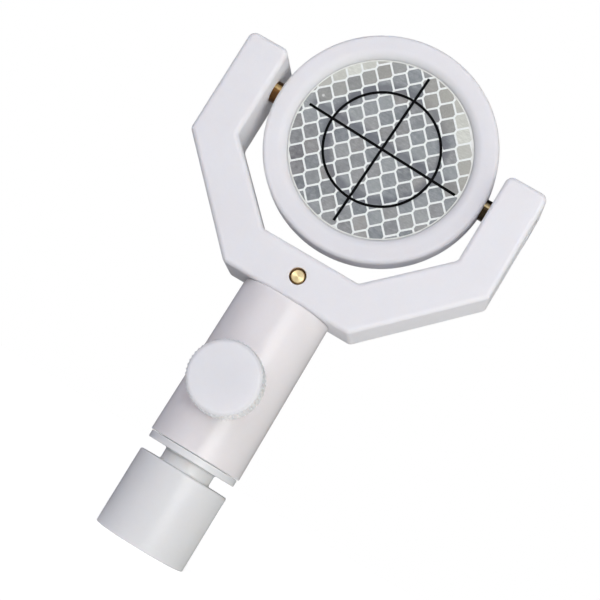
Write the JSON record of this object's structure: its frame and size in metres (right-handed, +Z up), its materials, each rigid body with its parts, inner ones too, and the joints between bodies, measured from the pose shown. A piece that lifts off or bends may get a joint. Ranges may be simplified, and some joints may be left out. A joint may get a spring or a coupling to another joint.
{
  "type": "rotating reflective survey target",
  "caption": "Round reflective target with circle and cross, tilting in a white U-shaped yoke on a clamped socket tube with a break-off threaded adapter.",
  "frame": {"origin": "centre of the adapter's bottom face, at the mouth of its threaded hole", "axes": "+Z up along the socket tube, towards the yoke and the target; -Y towards the front of the target; +X along the pivot axis, to the right as seen from the front"},
  "size_m": [0.1122, 0.0496, 0.1892],
  "materials": {
    "white_plastic": "satin moulded, cool white",
    "tube_plastic": "semi-gloss moulded, warm white",
    "knob_plastic": "satin moulded with a fine straight knurl",
    "adapter_plastic": "semi-gloss moulded, slightly translucent cool white",
    "brass": "machined",
    "brass_turned": "turned, with fine circular tool marks",
    "steel": "spring steel",
    "reflective_sheet": "microprismatic retroreflective sheet with white cell borders",
    "black_print": "black printed ink"
  },
  "bodies": {
    "adapter": {"break_off_adapter": "adapter_plastic", "adapter_thread_insert": "brass"},
    "head": {"socket_tube": "tube_plastic", "thumbscrew_bush": "brass", "yoke": "white_plastic", "yoke_cross_pin": "brass_turned", "left_arm_bush": "brass", "right_arm_bush": "brass", "left_spring_washer": "steel", "right_spring_washer": "steel", "left_pivot_plug": "white_plastic", "right_pivot_plug": "white_plastic"},
    "shoe": {"clamp_shoe": "brass"},
    "thumbscrew": {"thumbscrew_knob": "knob_plastic", "thumbscrew_stud": "brass"},
    "target": {"target_frame": "white_plastic", "front_reflective_sheet": "reflective_sheet", "rear_reflective_sheet": "reflective_sheet", "front_crosshair_print": "black_print", "rear_crosshair_print": "black_print", "left_ring_insert": "brass", "right_ring_insert": "brass", "left_pivot_screw": "brass_turned", "right_pivot_screw": "brass_turned"}
  },
  "joints": [
    {"name": "head_swivel", "type": "hinge", "parent": "adapter", "child": "head", "pos_m": [0, 0, 0.05], "axis": [0, 0, 1], "continuous": true},
    {"name": "target_tilt", "type": "hinge", "parent": "head", "child": "target", "pos_m": [0, 0, 0.1504], "axis": [1, 0, 0], "continuous": true},
    {"name": "clamp_advance", "type": "slide", "parent": "head", "child": "shoe", "axis": [0, -1, 0], "range_m": [0, 0.003]},
    {"name": "clamp_turn", "type": "hinge", "parent": "shoe", "child": "thumbscrew", "pos_m": [0, -0.0186, 0.0582], "axis": [0, -1, 0], "range_deg": [0, 1080]}
  ],
  "couplings": [
    {"joint": "clamp_advance", "follows": "clamp_turn", "m_per_rad": 0.00015915}
  ]
}
